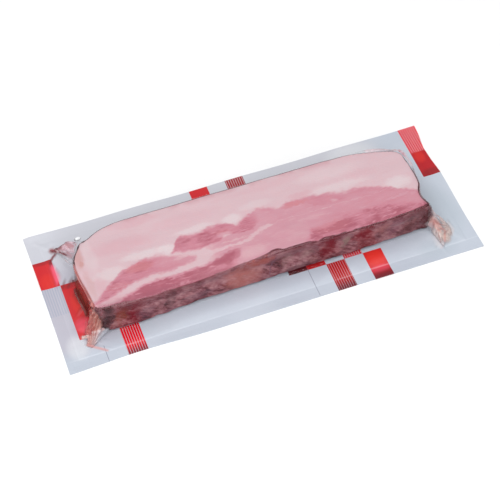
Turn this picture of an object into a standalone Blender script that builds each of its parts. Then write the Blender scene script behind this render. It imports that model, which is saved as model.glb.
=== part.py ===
"""Vacuum-packed bacon block: a slab of smoked pork belly sealed under clear film on a printed web.

Metres, +Z up. The origin is the middle of the pack's underside. +X runs along the slab, and +Y runs
across it, from the smoked lean side to the rind. The slab lies on one cut face and shows the other.
"""

import math

import bmesh
import bpy
from mathutils import Vector, noise

MM = 0.001

# The pack's flat web. Its outer lip is the seal, whose top waves a little. The web is cut with
# straight edges, which the packing draws in slightly, most at the front left and the back right.
PACK_LENGTH = 280 * MM
PACK_WIDTH = 110 * MM
WEB_THICKNESS = 0.6 * MM
SEAL_LIP = 8.5 * MM
LIP_LIFT = 0.7 * MM
LIP_WAVE = 74 * MM
EDGE_DRAW = 0.4 * MM
FRONT_BOW = 1.4 * MM
FRONT_BOW_X = -95 * MM
FRONT_BOW_WIDTH = 30 * MM
RIGHT_BOW = 2.2 * MM
RIGHT_BOW_Y = 31 * MM
RIGHT_BOW_WIDTH = 11 * MM

# The slab. It sits a little left of the pack's middle.
SLAB_LENGTH = 232 * MM
SLAB_WIDTH = 62.5 * MM
SLAB_MIDDLE_X = -2 * MM
SLAB_MIDDLE_Y = 0.5 * MM
SLAB_HEIGHT = 23.4 * MM
HEIGHT_SWELL = 1.2 * MM
SWELL_WAVE = 120 * MM
SWELL_CREST_X = 10 * MM
KNIFE_MARKS = 0.35 * MM
KNIFE_MARK_LENGTH = 17 * MM
KNIFE_MARK_WIDTH = 9 * MM
SEAT_GAP = 0.3 * MM
TINY = 0.001 * MM

# Corner radii in plan, along X and along Y: the rind side is well rounded, the lean side is square.
CORNER_RADII = {
    (-1, 1): (42 * MM, 24 * MM),
    (1, 1): (27 * MM, 17 * MM),
    (-1, -1): (7 * MM, 6 * MM),
    (1, -1): (5 * MM, 4 * MM),
}

# What makes the outline uneven: a belly on the lean side, which also draws nearer to the rind towards
# the right, a taper of the rind side near the right end, a bulge of the left end, and a step in the
# right end, whose front part is shorter.
FRONT_BELLY = 1.9 * MM
FRONT_BELLY_X = -86 * MM
FRONT_BELLY_WIDTH = 24 * MM
FRONT_SLANT = 0.012
RIGHT_TAPER = 1.6 * MM
RIGHT_TAPER_START_X = 60 * MM
RIGHT_TAPER_RUN = 50 * MM
LEFT_BULGE = 3.2 * MM
LEFT_BULGE_Y = 3 * MM
LEFT_BULGE_WIDTH = 19 * MM
RIGHT_STEP = 4.2 * MM
RIGHT_STEP_Y = -12.5 * MM
RIGHT_STEP_BLEND = 3 * MM
END_REACH = 8

# The short front part of the right end spreads towards its foot.
RIGHT_FOOT = Vector((9, 2)) * MM
RIGHT_FOOT_CORNER = Vector((108, -27)) * MM
RIGHT_FOOT_WIDTH = 7.5 * MM

# Where the clear film stands off the slab's corners in gussets: each one's root on the slab's outline,
# its tip on the web, its width at the root, and how closely it hugs the slab before it runs out to
# the tip (1 is a straight ridge).
GUSSETS = {
    "back_left": (Vector((-108.2, 21.7)) * MM, Vector((-124, 38.8)) * MM, 2.6 * MM, 0.52),
    "front_left_end": (Vector((-115.5, -23)) * MM, Vector((-119.5, -26)) * MM, 4.0 * MM, 1.6),
    "front_left": (Vector((-115, -27.5)) * MM, Vector((-127, -32.5)) * MM, 3.0 * MM, 2.2),
    "front_left_low": (Vector((-113, -30.3)) * MM, Vector((-121.5, -41)) * MM, 2.6 * MM, 2.6),
    "front_right": (Vector((110, -20)) * MM, Vector((127, -27.5)) * MM, 3.2 * MM, 2.0),
    "front_right_mid": (Vector((109.5, -24)) * MM, Vector((126.5, -38.5)) * MM, 3.0 * MM, 2.6),
    "front_right_low": (Vector((108.5, -27.5)) * MM, Vector((113.5, -47)) * MM, 2.8 * MM, 3.2),
    "back_right": (Vector((111.8, 20.2)) * MM, Vector((117, 25)) * MM, 4.6 * MM, 0.3),
    "back_right_end": (Vector((114, 10)) * MM, Vector((118, 10)) * MM, 6.5 * MM, 0.3),
}
FILM_FILLET = 0.9 * MM

# The radius of the slab's top edge, and its share of that along the lean side, which is crisper from
# this far towards the front, as a share of half the slab's width.
EDGE_ROUNDING = 2.4 * MM
LEAN_EDGE_SHARE = 0.5
LEAN_EDGE_START = 0.75
LEAN_EDGE_BLEND = 0.2

# The furrows of the smoked lean side: each set's depth, and its length and height of one furrow.
FURROWS = ((0.9 * MM, 26 * MM, 5 * MM), (0.5 * MM, 9 * MM, 3.5 * MM))
LEAN_SIDE_Y = -20 * MM

# How deep the line lies inside the slab from which its outline faces outwards all round.
CORE_DEPTH = 12 * MM

# The meshes' fineness. The slab's cells are shorter towards its sides and ends, by this share.
CELLS_ALONG = 64
CELLS_ACROSS = 18
CELLS_UP = 9
CROWDING = 0.45
WEB_CELLS_ALONG = 36
WEB_CELLS_ACROSS = 12


def bell(distance, width):
    """A smooth bump: 1 at no distance, fading out within about two widths."""
    return math.exp(-((distance / width) ** 2))


def clear_scene():
    for obj in list(bpy.data.objects):
        bpy.data.objects.remove(obj)


def material(name, colour, roughness):
    """A Principled surface, coated as the film makes it."""
    made = bpy.data.materials.new(name)
    made.use_nodes = True
    shader = made.node_tree.nodes["Principled BSDF"]
    shader.inputs["Base Color"].default_value = (*colour, 1.0)
    shader.inputs["Roughness"].default_value = roughness
    shader.inputs["Metallic"].default_value = 0.0
    shader.inputs["Coat Weight"].default_value = 0.6
    made.diffuse_color = (*colour, 1.0)
    return made


def add_object(name, bm, surface, collection):
    mesh = bpy.data.meshes.new(name)
    bm.to_mesh(mesh)
    bm.free()
    obj = bpy.data.objects.new(name, mesh)
    obj.data.materials.append(surface)
    collection.objects.link(obj)
    return obj


def grid_line(share, count, length, borders, crowding=0):
    """Where a line of an evenly cut grid goes, from its place between -1 and 1.

    The outermost lines lie at the given distances from the edge, and the rest between them.
    """
    index = round((share + 1) / 2 * count)
    outer = [0, *borders]
    if index < len(outer):
        return outer[index] - length / 2
    if count - index < len(outer):
        return length / 2 - outer[count - index]
    even = 2 * (index - len(borders)) / (count - 2 * len(borders)) - 1
    crowded = (1 - crowding) * even + crowding * math.sin(math.pi * even / 2)
    return (length / 2 - borders[-1]) * crowded


def quarter_disc(s, t):
    """Maps the unit square onto the unit quarter disc: each square ring becomes an arc."""
    radius = max(s, t)
    turn = math.pi / 4 * min(s, t) / radius
    angle = turn if s > t else math.pi / 2 - turn
    return radius * math.cos(angle), radius * math.sin(angle)


def round_corner(x, y, half_length, half_width):
    """Moves a point of the slab's bounding rectangle into its rounded outline."""
    side = (1 if x > 0 else -1, 1 if y > 0 else -1)
    radius_x, radius_y = CORNER_RADII[side]
    s = (abs(x) - (half_length - radius_x)) / radius_x
    t = (abs(y) - (half_width - radius_y)) / radius_y
    if s <= 0 or t <= 0:
        return x, y
    s, t = quarter_disc(min(s, 1), min(t, 1))
    rounded_x = half_length - radius_x + radius_x * s
    rounded_y = half_width - radius_y + radius_y * t
    return side[0] * rounded_x, side[1] * rounded_y


def footprint(x, y):
    """Moves a point of a plain rectangle, the size of the slab, to its place in the slab's plan."""
    u = 2 * x / SLAB_LENGTH
    v = 2 * y / SLAB_WIDTH
    x, y = round_corner(x, y, SLAB_LENGTH / 2, SLAB_WIDTH / 2)
    towards_front = max(0, -v)
    y -= towards_front * FRONT_BELLY * bell(x - FRONT_BELLY_X, FRONT_BELLY_WIDTH)
    y += towards_front * FRONT_SLANT * x
    y -= max(0, v) * RIGHT_TAPER * max(0, (x - RIGHT_TAPER_START_X) / RIGHT_TAPER_RUN)
    at_left = max(0, -u) ** END_REACH
    at_right = max(0, u) ** END_REACH
    x += at_left * LEFT_BULGE * (1 - bell(y - LEFT_BULGE_Y, LEFT_BULGE_WIDTH))
    x -= at_right * RIGHT_STEP * (1 - math.tanh((y - RIGHT_STEP_Y) / RIGHT_STEP_BLEND)) / 2
    return Vector((x + SLAB_MIDDLE_X, y + SLAB_MIDDLE_Y))


def top_height(x, y):
    """The cut face's height above the slab's underside: a slow swell, and shallow knife marks."""
    swell = HEIGHT_SWELL * math.cos(2 * math.pi * (x - SWELL_CREST_X) / SWELL_WAVE)
    swell *= min(max(0.5 - y / SLAB_WIDTH, 0), 1)
    marks = KNIFE_MARKS * noise.noise(Vector((x / KNIFE_MARK_LENGTH, y / KNIFE_MARK_WIDTH, 0.3)))
    return SLAB_HEIGHT - SEAT_GAP + swell + marks


def edge_radius(y):
    """The top edge's radius: smaller along the lean side."""
    crisp = min(max((-2 * y / SLAB_WIDTH - LEAN_EDGE_START) / LEAN_EDGE_BLEND, 0), 1)
    return EDGE_ROUNDING * (1 + (LEAN_EDGE_SHARE - 1) * crisp)


def rounded_edge(inset, depth, radius):
    """Carries a point that is so far in from a square edge, or down from it, onto a rounded edge."""
    along = inset - depth
    if abs(along) >= radius:
        return inset, depth
    angle = math.pi / 4 * (1 + along / radius)
    return radius * (1 - math.cos(angle)), radius * (1 - math.sin(angle))


def outward(point):
    """The way that the slab's side faces, at a point of its outline."""
    half_x = SLAB_LENGTH / 2 - CORE_DEPTH
    half_y = SLAB_WIDTH / 2 - CORE_DEPTH
    core = Vector((
        min(max(point.x, SLAB_MIDDLE_X - half_x), SLAB_MIDDLE_X + half_x),
        min(max(point.y, SLAB_MIDDLE_Y - half_y), SLAB_MIDDLE_Y + half_y),
    ))
    return (point - core).normalized()


def foot_spread(point, down):
    """How far the slab itself spreads below its top edge, at the front of its right end."""
    return RIGHT_FOOT * bell((point - RIGHT_FOOT_CORNER).length, RIGHT_FOOT_WIDTH) * math.sqrt(down)


def film_offset(point, down):
    """How far the film stands out from the slab's outline. down is 0 at the top edge and 1 at the web."""
    reach = Vector((0, 0))
    total = 0
    for root, tip, width, hug in GUSSETS.values():
        nearness = bell((point - root).length, width)
        reach += (tip - root - foot_spread(root, 1)) * nearness * down**hug
        total += nearness
    fillet = outward(point) * FILM_FILLET * down**4
    return fillet + foot_spread(point, down) + reach / max(1, total)


def crags(point, height):
    """The smoked lean side is furrowed along the slab, by up to about a millimetre."""
    if point.y > LEAN_SIDE_Y:
        return 0.0
    stand = 0.0
    for turn, (deep, long, high) in enumerate(FURROWS):
        stand += deep * noise.noise(Vector((point.x / long, 0.7 + 3.4 * turn, height / high)))
    return stand


def sealed_bacon(surface, collection):
    """The slab with the clear film drawn tight over it, and the film's gussets at the corners."""
    bm = bmesh.new()
    bmesh.ops.create_cube(bm, size=2)

    def cut(axis, count):
        edges = [
            e for e in bm.edges
            if abs(abs((e.verts[1].co - e.verts[0].co).normalized()[axis]) - 1) < 0.01
        ]
        bmesh.ops.subdivide_edges(bm, edges=edges, cuts=count - 1, use_grid_fill=True)

    for axis, count in enumerate((CELLS_ALONG, CELLS_ACROSS, CELLS_UP)):
        cut(axis, count)
    underside = [f for f in bm.faces if f.calc_center_median().z < -0.999]
    bmesh.ops.dissolve_faces(bm, faces=underside, use_verts=True)

    base = WEB_THICKNESS + SEAT_GAP
    rings = [EDGE_ROUNDING / 2, EDGE_ROUNDING]
    for vert in bm.verts:
        x = grid_line(vert.co.x, CELLS_ALONG, SLAB_LENGTH, rings, CROWDING)
        y = grid_line(vert.co.y, CELLS_ACROSS, SLAB_WIDTH, rings, CROWDING)
        z = grid_line(vert.co.z, CELLS_UP, SLAB_HEIGHT, rings)
        point = footprint(x, y)
        top = top_height(point.x, point.y)
        down = 0.5 - z / SLAB_HEIGHT
        inset = min(SLAB_LENGTH / 2 - abs(x), SLAB_WIDTH / 2 - abs(y))
        if inset < TINY:
            furrow = crags(point, z) * math.sin(math.pi * down)
            point += film_offset(point, down) + outward(point) * furrow
        rounded_inset, depth = rounded_edge(inset, down * top, edge_radius(y))
        point -= outward(point) * (rounded_inset - inset)
        vert.co = (point.x, point.y, base + top - depth)
    bmesh.ops.recalc_face_normals(bm, faces=bm.faces)

    obj = add_object("film_sealed_bacon", bm, surface, collection)
    obj.data.shade_smooth()
    return obj


def lip_lift(x, y):
    """The sealed lip round the pack isn't quite flat: it waves a little."""
    beyond_x = max(0, abs(x) - (PACK_LENGTH / 2 - SEAL_LIP)) / SEAL_LIP
    beyond_y = max(0, abs(y) - (PACK_WIDTH / 2 - SEAL_LIP)) / SEAL_LIP
    beyond = max(beyond_x, beyond_y)
    along = x if beyond_y > beyond_x else y
    wave = 0.5 + 0.5 * math.sin(2 * math.pi * along / LIP_WAVE + 0.8)
    return beyond**1.6 * LIP_LIFT * wave


def web_outline(x, y):
    """Draws the web's straight edges in a little."""
    along_x = 2 * x / PACK_LENGTH
    along_y = 2 * y / PACK_WIDTH
    drawn_x = x - along_x**5 * EDGE_DRAW * (1 - along_y**2)
    drawn_y = y - along_y**5 * EDGE_DRAW * (1 - along_x**2)
    drawn_x -= max(0, along_x) ** 6 * RIGHT_BOW * bell(y - RIGHT_BOW_Y, RIGHT_BOW_WIDTH)
    drawn_y += max(0, -along_y) ** 6 * FRONT_BOW * bell(x - FRONT_BOW_X, FRONT_BOW_WIDTH)
    return Vector((drawn_x, drawn_y, 0))


def printed_web(surface, collection):
    """The printed web that the slab lies on, with the clear film sealed to it round the edge."""
    bm = bmesh.new()
    bmesh.ops.create_grid(bm, x_segments=WEB_CELLS_ALONG, y_segments=WEB_CELLS_ACROSS, size=1)
    lip = [SEAL_LIP / 2, SEAL_LIP]
    for vert in bm.verts:
        x = grid_line(vert.co.x, WEB_CELLS_ALONG, PACK_LENGTH, lip)
        y = grid_line(vert.co.y, WEB_CELLS_ACROSS, PACK_WIDTH, lip)
        vert.co = web_outline(x, y)
    underside = bm.faces[:]
    raised = bmesh.ops.extrude_face_region(bm, geom=underside, use_keep_orig=True)["geom"]
    for item in raised:
        if isinstance(item, bmesh.types.BMVert):
            item.co.z = WEB_THICKNESS + lip_lift(item.co.x, item.co.y)
    bmesh.ops.dissolve_faces(bm, faces=underside, use_verts=True)
    bmesh.ops.recalc_face_normals(bm, faces=bm.faces)
    return add_object("printed_web", bm, surface, collection)


def main():
    clear_scene()
    collection = bpy.data.collections.new("vacuum_packed_bacon_block")
    bpy.context.scene.collection.children.link(collection)
    filmed_meat = material("filmed_bacon", (0.62, 0.30, 0.33), 0.25)
    white_film = material("white_film", (0.72, 0.75, 0.80), 0.3)
    sealed_bacon(filmed_meat, collection)
    printed_web(white_film, collection)


main()
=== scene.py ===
# %% [markdown]
# This lesson dresses a block of smoked bacon that is sealed under clear film on a printed web.
# The packed model gives the sizes and places: one solid for the filmed block, one for the web.
# Here the block becomes meat under film, and the web gets its print, its seal and its creases.

import math

import bmesh
import bpy
import numpy as np
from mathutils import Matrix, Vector, noise


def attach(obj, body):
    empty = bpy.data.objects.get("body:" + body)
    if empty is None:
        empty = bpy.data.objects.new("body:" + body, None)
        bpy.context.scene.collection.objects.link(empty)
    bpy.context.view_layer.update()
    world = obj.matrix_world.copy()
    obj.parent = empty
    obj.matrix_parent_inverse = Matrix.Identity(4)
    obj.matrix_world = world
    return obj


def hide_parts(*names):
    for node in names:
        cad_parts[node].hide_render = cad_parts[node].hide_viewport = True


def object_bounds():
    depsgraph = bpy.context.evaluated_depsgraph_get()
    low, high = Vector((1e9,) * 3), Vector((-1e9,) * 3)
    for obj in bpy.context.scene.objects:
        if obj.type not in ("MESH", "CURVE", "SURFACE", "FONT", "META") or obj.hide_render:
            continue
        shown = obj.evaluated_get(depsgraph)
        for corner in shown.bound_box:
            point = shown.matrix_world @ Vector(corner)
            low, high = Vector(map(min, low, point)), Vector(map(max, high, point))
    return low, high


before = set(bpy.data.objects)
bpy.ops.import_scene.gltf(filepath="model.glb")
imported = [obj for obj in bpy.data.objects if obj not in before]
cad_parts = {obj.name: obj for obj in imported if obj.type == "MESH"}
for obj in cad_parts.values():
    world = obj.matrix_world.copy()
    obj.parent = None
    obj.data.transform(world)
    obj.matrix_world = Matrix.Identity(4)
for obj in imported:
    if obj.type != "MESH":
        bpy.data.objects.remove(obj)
cad_low, cad_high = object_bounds()
MM = 0.001
print("the pack's box in mm:", [round((b - a) / MM, 1) for a, b in zip(cad_low, cad_high)])

# %% [markdown]
# The camera comes first, because every later choice is judged through it. The pack's four corners
# in the photograph give its direction, its distance and its lens. It looks down at about 54 degrees,
# from a little to the left of the pack's long side.

# %% Set up the camera
CAMERA_TARGET = Vector((-3.7, -4.6, 0)) * MM
CAMERA_DISTANCE = 941.6 * MM
CAMERA_AZIMUTH = math.radians(-20.48)
CAMERA_ELEVATION = math.radians(53.96)
CAMERA_LENS_MM = 104.2

towards_camera = Vector((
    math.sin(CAMERA_AZIMUTH) * math.cos(CAMERA_ELEVATION),
    -math.cos(CAMERA_AZIMUTH) * math.cos(CAMERA_ELEVATION),
    math.sin(CAMERA_ELEVATION),
))
bpy.ops.object.camera_add(location=CAMERA_TARGET + towards_camera * CAMERA_DISTANCE)
camera = bpy.context.object
camera.rotation_euler = towards_camera.to_track_quat("Z", "Y").to_euler()
camera.data.lens = CAMERA_LENS_MM
camera.data.clip_start = 0.01
bpy.context.scene.camera = camera
print("camera at", [round(c, 3) for c in camera.location])

# %% [markdown]
# The light is plain and soft. A white world fills the shadows. One large panel hangs over the pack
# and a smaller one stands low in front, which lights the smoked side. The plain view transform keeps
# the colours as they are mixed, so that a sampled colour can be compared with the photograph.

# %% Light the pack
WORLD_STRENGTH = 0.46
WORLD_COLOUR = (0.98, 0.99, 1.0, 1.0)
PANELS = {
    "panel_overhead": (Vector((-0.1, 0.02, 1.3)), 1.5, 14.5),
    "panel_front": (Vector((-0.5, -1.05, 0.5)), 1.3, 7.0),
}

scene = bpy.context.scene
scene.view_settings.view_transform = "Standard"
scene.world = bpy.data.worlds.new("white_room")
scene.world.use_nodes = True
room = scene.world.node_tree.nodes["Background"]
room.inputs["Color"].default_value = WORLD_COLOUR
room.inputs["Strength"].default_value = WORLD_STRENGTH
for name, (place, side, power) in PANELS.items():
    bpy.ops.object.light_add(type="AREA", location=place)
    panel = bpy.context.object
    panel.name = name
    panel.rotation_euler = place.to_track_quat("Z", "Y").to_euler()
    panel.data.size = side
    panel.data.energy = power
print("lights:", list(PANELS))

# %% [markdown]
# A material here is a small graph of nodes. Writing each node takes several lines, so one helper
# class adds a node, sets its inputs and links it in one line. Every pattern reads the object's own
# coordinates, turned into millimetres, so that a number in a material is a size on the real pack.

# %% Write the helper for materials
def seen(red, green, blue):
    """The linear colour of a surface that looks like these screen values, from 0 to 255."""
    linear = []
    for value in (red / 255, green / 255, blue / 255):
        linear.append(value / 12.92 if value <= 0.04045 else ((value + 0.055) / 1.055) ** 2.4)
    return (*linear, 1.0)


class Recipe:
    """The nodes of one material."""

    def __init__(self, name):
        self.material = bpy.data.materials.new(name)
        self.material.use_nodes = True
        self.tree = self.material.node_tree
        self.shader = self.tree.nodes["Principled BSDF"]
        self.output = self.tree.nodes["Material Output"]
        place = self.node("TexCoord").outputs["Object"]
        scaled = self.node("VectorMath", {0: place, "Scale": 1 / MM}, operation="SCALE")
        self.place = scaled.outputs[0]
        parts = self.node("SeparateXYZ", {0: self.place}).outputs
        self.x, self.y, self.z = parts[0], parts[1], parts[2]

    def put(self, socket, value):
        """Links a socket's value in, or sets it. Colours are given as they look."""
        if isinstance(value, bpy.types.NodeSocket):
            self.tree.links.new(value, socket)
        elif socket.type == "RGBA":
            socket.default_value = seen(*value)
        else:
            socket.default_value = value

    def node(self, kind, inputs=None, **settings):
        """Adds a node, with its settings and its inputs."""
        made = self.tree.nodes.new("ShaderNode" + kind)
        for name, value in settings.items():
            setattr(made, name, value)
        for name, value in (inputs or {}).items():
            self.put(made.inputs[name], value)
        return made

    def math(self, operation, *values):
        return self.node("Math", dict(enumerate(values)), operation=operation).outputs[0]

    def add(self, *values):
        total = values[0]
        for value in values[1:]:
            total = self.math("ADD", total, value)
        return total

    def times(self, *values):
        product = values[0]
        for value in values[1:]:
            product = self.math("MULTIPLY", product, value)
        return product

    def fade(self, value, start, end, low=0.0, high=1.0):
        """A smooth step from low to high as the value goes from start to end."""
        inputs = {"Value": value, "From Min": start, "From Max": end, "To Min": low, "To Max": high}
        return self.node("MapRange", inputs, interpolation_type="SMOOTHSTEP").outputs[0]

    def blend(self, share, first, second):
        """A mix of two colours: the second one's share is given."""
        inputs = {"Factor": share, 6: first, 7: second}
        return self.node("Mix", inputs, data_type="RGBA").outputs[2]

    def noise(self, cell, detail=2.0, along=(1, 1, 1), shift=(0, 0, 0), rough=0.5, place=None):
        """Soft noise from 0 to 1 in cells of so many millimetres, stretched along the axes."""
        scale = [1 / (cell * a) for a in along]
        inputs = {"Vector": place or self.place, "Location": shift, "Scale": scale}
        spread = self.node("Mapping", inputs).outputs[0]
        inputs = {"Vector": spread, "Scale": 1.0, "Detail": detail, "Roughness": rough}
        return self.node("TexNoise", inputs).outputs[0]

    def ovals(self, places, across, up):
        """The sum of soft ovals: each has its middle, its half sizes and its strength."""
        total = 0.0
        for middle_x, middle_y, half_x, half_y, strength in places:
            a = self.math("MULTIPLY_ADD", across, 1 / half_x, -middle_x / half_x)
            b = self.math("MULTIPLY_ADD", up, 1 / half_y, -middle_y / half_y)
            square = self.add(self.times(a, a), self.times(b, b))
            total = self.add(total, self.fade(square, 1.6, 0.1, 0.0, strength))
        return total

    def attribute(self, name, output="Fac"):
        return self.node("Attribute", attribute_name=name).outputs[output]

    def ramp(self, share, stops):
        """A colour scale: stops are (place, colour)."""
        made = self.node("ValToRGB", {0: share})
        elements = made.color_ramp.elements
        while len(elements) < len(stops):
            elements.new(0.5)
        for element, (place, colour) in zip(elements, stops):
            element.position = place
            element.color = seen(*colour)
        return made.outputs[0]

    def bump(self, height, depth_mm):
        """A normal that makes the surface look raised by the height."""
        inputs = {"Height": height, "Strength": 1.0, "Distance": depth_mm * MM}
        return self.node("Bump", inputs).outputs[0]

    def finish(self, **sockets):
        """Sets the shader's sockets by name and gives the material."""
        for name, value in sockets.items():
            self.put(self.shader.inputs[name.replace("_", " ").title().replace("Ior", "IOR")], value)
        return self.material


print("the helper adds nodes such as", Recipe.noise.__doc__)

# %% [markdown]
# Modelling in code repeats a few motions: select only this object, go into edit mode, pick faces by
# their place or normal, apply a modifier. A working copy of a packed node is made here too. Its
# triangles come loose from the file, so they are welded and turned back into four-sided faces.

# %% Write the helpers for modelling
def only(piece):
    """Selects one object alone and makes it the active one."""
    bpy.ops.object.select_all(action="DESELECT")
    piece.select_set(True)
    bpy.context.view_layer.objects.active = piece


def edit(piece, mode="FACE", select="DESELECT"):
    """Goes into edit mode with nothing selected, or with all of it."""
    only(piece)
    bpy.ops.object.mode_set(mode="EDIT")
    bpy.ops.mesh.select_mode(type=mode)
    bpy.ops.mesh.select_all(action=select)


def done():
    bpy.ops.object.mode_set(mode="OBJECT")


def change_faces(piece, wanted, change, **settings):
    """Does one operator on the faces whose middle and normal pass the test."""
    edit(piece)
    bm = bmesh.from_edit_mesh(piece.data)
    for face in bm.faces:
        face.select = wanted(face.calc_center_median(), face.normal)
    bm.select_flush_mode()
    bmesh.update_edit_mesh(piece.data)
    change(**settings)
    done()


def modify(piece, kind, **settings):
    """Adds a modifier and applies it."""
    only(piece)
    modifier = piece.modifiers.new(kind.title(), kind)
    for name, value in settings.items():
        setattr(modifier, name, value)
    bpy.ops.object.modifier_apply(modifier=modifier.name)


WELD = 0.01 * MM


def working_copy(node, name):
    """A welded copy of a packed node's mesh, made of quads, that may be reshaped."""
    piece = bpy.data.objects.new(name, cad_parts[node].data.copy())
    scene.collection.objects.link(piece)
    piece.data.materials.clear()
    edit(piece, select="SELECT")
    bpy.ops.mesh.customdata_custom_splitnormals_clear()
    bpy.ops.mesh.remove_doubles(threshold=WELD)
    bpy.ops.mesh.tris_convert_to_quads(face_threshold=math.pi, shape_threshold=math.pi)
    done()
    return piece


def points_of(piece):
    """The mesh's points and their normals, as arrays of rows."""
    count = len(piece.data.vertices)
    places = np.zeros(count * 3)
    normals = np.zeros(count * 3)
    piece.data.vertices.foreach_get("co", places)
    piece.data.vertices.foreach_get("normal", normals)
    return places.reshape(-1, 3), normals.reshape(-1, 3)


def spots_of(piece):
    """The mesh's points in millimetres, with their heights counted from the pack's underside."""
    return (points_of(piece)[0] - np.array((0, 0, cad_low.z))) / MM


def move_points(piece, places):
    piece.data.vertices.foreach_set("co", places.ravel())
    piece.data.update()


def give(piece, name, values):
    """Stores one number for each point, for the material to read."""
    made = piece.data.attributes.new(name, "FLOAT", "POINT")
    made.data.foreach_set("value", np.asarray(values, np.float32))


def soft_step(value, start, end):
    """0 before start, 1 after end, and smooth between them, for arrays."""
    share = np.clip((value - start) / (end - start), 0, 1)
    return share * share * (3 - 2 * share)


def rough(places, cell, along=(1, 1, 1), seed=0.0):
    """Noise from about -1 to 1 at each point, in cells of this size stretched along the axes."""
    scaled = places / (cell * np.array(along)) + seed
    return np.array([noise.noise(p) for p in scaled])


print("welded copies of", sorted(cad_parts), "can be reshaped")

# %% [markdown]
# The slab is pork belly lying on a cut face, so its top shows the layers: rind and fat at the back,
# lean bands towards the front. It could start as a box with rounded corners. The packed solid
# already has its outline, so a copy of that is used, and the film's gussets, where the film stands
# off the corners, are sliced off it with upright planes. A row of them rounds the back left corner.

# %% Slice the gussets off a copy of the block
ROUND_CENTRE = Vector((-76, 7.8))
ROUND_RADII = Vector((-42, 24))
ROUND_TURNS = (15, 30, 42, 52, 61, 70, 80)
FLAT_SLICES = {
    "rind_right_low": ((92, 27.6), (0.2, 0.98)),
    "rind_right": ((106, 23.4), (0.33, 0.94)),
    "rind_right_corner": ((110.8, 20.6), (0.75, 0.66)),
    "rind_right_end": ((112.9, 13), (0.994, 0.1)),
    "left_end": ((-115.6, -24), (-0.97, -0.24)),
    "left_corner": ((-114.3, -28.5), (-0.8, -0.6)),
    "left_front": ((-112.5, -31.3), (-0.45, -0.9)),
    "right_end": ((117.6, -23), (0.98, -0.2)),
    "right_corner": ((114.5, -28), (0.6, -0.8)),
}
SLICE_CLEARANCE = 0.3

slab = working_copy("film_sealed_bacon", "bacon_slab")
slices = [(Vector(point), Vector(facing)) for point, facing in FLAT_SLICES.values()]
for turn in ROUND_TURNS:
    sine = math.sin(math.radians(turn))
    cosine = math.cos(math.radians(turn))
    point = ROUND_CENTRE + Vector((ROUND_RADII.x * sine, ROUND_RADII.y * cosine))
    facing = Vector((sine / ROUND_RADII.x, cosine / ROUND_RADII.y)).normalized()
    slices.append((point + facing * SLICE_CLEARANCE, facing))
for point, facing in slices:
    edit(slab, select="SELECT")
    bpy.ops.mesh.bisect(
        plane_co=(*(point * MM), 0), plane_no=(*facing, 0), use_fill=True, clear_outer=True
    )
    done()
print("the sliced block has", len(slab.data.polygons), "faces")

# %% [markdown]
# Meat has no sharp facets. A voxel remesh covers the sliced block with even cells of under a
# millimetre, and smoothing melts the facets together. The surface then moves in by a third of a
# millimetre, so that the film has room over it.

# %% Give the slab an even, soft skin
MEAT_CELL = 0.85 * MM
UNDER_FILM = 0.35 * MM

modify(slab, "REMESH", mode="VOXEL", voxel_size=MEAT_CELL)
modify(slab, "SMOOTH", factor=0.5, iterations=8)
modify(slab, "DISPLACE", strength=-UNDER_FILM, mid_level=0.0)
print("the slab's skin has", len(slab.data.polygons), "cells")

# %% [markdown]
# The smoked lean side is crusted, and its crust curls over the top edge. The rind runs along the back
# and round the right end, and from above it shows as a thin dark rim. The left end is wet and dark.
# All three are found from each point's place and the way that the surface faces there, and every point
# keeps three numbers for the material: how smoked, how much rind, how much left end.

# %% Mark the smoked side, the rind and the left end
CRUST_EDGE = (
    (-116, -28.6), (-110, -30.6), (-97, -31.2), (-84, -32.0), (-70, -31.6), (-50, -31.2), (-40, -30.6),
    (-33, -29.8), (-25, -28.9), (-10, -28.8), (0, -27.6), (5, -26.6), (10, -28.2), (28, -28.5),
    (33, -29.4), (38, -28.5), (60, -28.4), (85, -28.2), (104, -27.6), (112, -26.0),
)
EDGE_WANDER = 0.7
RIND_TILT = 0.97
RIND_FADE = 0.22

places, normals = points_of(slab)
x, y = (places / MM).T[:2]
wander = rough(places, 5 * MM, (2.0, 1, 1), seed=3.1)
wander += 0.5 * rough(places, 1.8 * MM, (1.5, 1, 1), seed=8.8)
crust_edge = np.interp(x, *zip(*CRUST_EDGE)) + EDGE_WANDER * wander
facing_front = soft_step(-normals[:, 1], 0.25, 0.6)
on_top = soft_step(normals[:, 2], 0.55, 0.9)
curled_over = on_top * soft_step(crust_edge - y, -0.6, 0.5)
smoked = np.clip(np.maximum(facing_front * (1 - on_top), curled_over), 0, 1)
right_front = soft_step(x, 106, 111) * soft_step(-y, 8, 16) * (1 - on_top)
smoked = np.maximum(smoked, right_front)
end_wall = soft_step(-normals[:, 0], 0.35, 0.75) * soft_step(-x, 100, 106) * soft_step(10 - y, 0, 3)
end_wall *= (1 - 0.7 * on_top) * (1 - smoked)
sideways = soft_step(RIND_TILT - normals[:, 2], 0, RIND_FADE)
rind_side = np.maximum(soft_step(y, -2, 8), soft_step(x, 100, 108))
rind = sideways * rind_side * (1 - smoked) * (1 - end_wall)
give(slab, "smoked", smoked)
give(slab, "rind", rind)
give(slab, "end_wall", end_wall)
print("smoked points:", int((smoked > 0.5).sum()), "rind points:", int((rind > 0.5).sum()))

# %% [markdown]
# Colour alone would leave the crust looking painted, so its lumps are pressed into the mesh: each
# point moves along its normal by some noise, large lumps with smaller ones on them. The cut face gets
# the knife's long waves and the fine grain of the muscle. No point rises to the film.

# %% Press in the crust's lumps
LUMP_DEPTH = 0.42 * MM
LUMP_MIDDLE = 0.3
GRAIN_DEPTH = 0.1 * MM
HIGHEST = 0.9 * UNDER_FILM

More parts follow.
